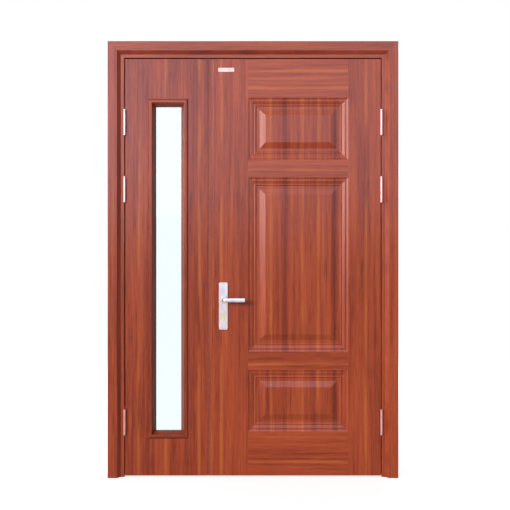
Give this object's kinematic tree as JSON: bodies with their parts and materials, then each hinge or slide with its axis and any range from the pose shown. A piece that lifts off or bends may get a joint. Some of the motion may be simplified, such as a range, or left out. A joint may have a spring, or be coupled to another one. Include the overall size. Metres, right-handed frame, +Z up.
{
  "type": "double door",
  "caption": "Wood-grain steel entrance door in a pressed frame: a wide panelled leaf with a lever lock beside a narrow glazed leaf, on butt hinges that open to the front.",
  "frame": {"origin": "on the floor at the wall side of the left jamb, in the plane of the closed leaves' front faces", "axes": "+X to the right as seen from the front, +Y from the front face to the back of the frame, +Z up"},
  "size_m": [1.464, 0.154, 2.2],
  "materials": {
    "wood_print": "satin",
    "hinge_steel": "satin",
    "handle_metal": "satin",
    "lock_steel": "satin",
    "cylinder_brass": "satin",
    "glass": "polished",
    "seal_rubber": "matte"
  },
  "bodies": {
    "frame": {"frame_seal": "seal_rubber", "head": "wood_print", "left_bottom_hinge_frame": "hinge_steel", "left_jamb": "wood_print", "left_middle_hinge_frame": "hinge_steel", "left_top_hinge_frame": "hinge_steel", "right_bottom_hinge_frame": "hinge_steel", "right_jamb": "wood_print", "right_middle_hinge_frame": "hinge_steel", "right_top_hinge_frame": "hinge_steel"},
    "narrow_leaf": {"back_glazing_bead": "wood_print", "front_glazing_bead": "wood_print", "glass_pane": "glass", "left_bottom_hinge_leaf": "hinge_steel", "left_middle_hinge_leaf": "hinge_steel", "left_top_hinge_leaf": "hinge_steel", "lower_flush_bolt": "lock_steel", "narrow_back_pan": "wood_print", "narrow_front_pan": "wood_print", "strike_plate": "lock_steel", "upper_flush_bolt": "lock_steel"},
    "wide_leaf": {"back_plate": "handle_metal", "front_plate": "handle_metal", "lock_cylinder": "cylinder_brass", "lock_forend": "lock_steel", "meeting_seal": "seal_rubber", "right_bottom_hinge_leaf": "hinge_steel", "right_middle_hinge_leaf": "hinge_steel", "right_top_hinge_leaf": "hinge_steel", "wide_back_pan": "wood_print", "wide_front_pan": "wood_print"},
    "lever": {"front_lever": "handle_metal", "back_lever": "handle_metal", "spindle": "lock_steel"}
  },
  "joints": [
    {"name": "narrow_leaf_swing", "type": "hinge", "parent": "frame", "child": "narrow_leaf", "pos_m": [0.0835, -0.007, 0], "axis": [0, 0, -1], "range_deg": [0, 150]},
    {"name": "wide_leaf_swing", "type": "hinge", "parent": "frame", "child": "wide_leaf", "pos_m": [1.3805, -0.007, 0], "axis": [0, 0, 1], "range_deg": [0, 150]},
    {"name": "lever_turn", "type": "hinge", "parent": "wide_leaf", "child": "lever", "pos_m": [0.5824, 0.025, 0.897], "axis": [0, 1, 0], "range_deg": [0, 45], "stiffness_Nm_per_rad": 1.5, "springref_deg": -34.38}
  ]
}
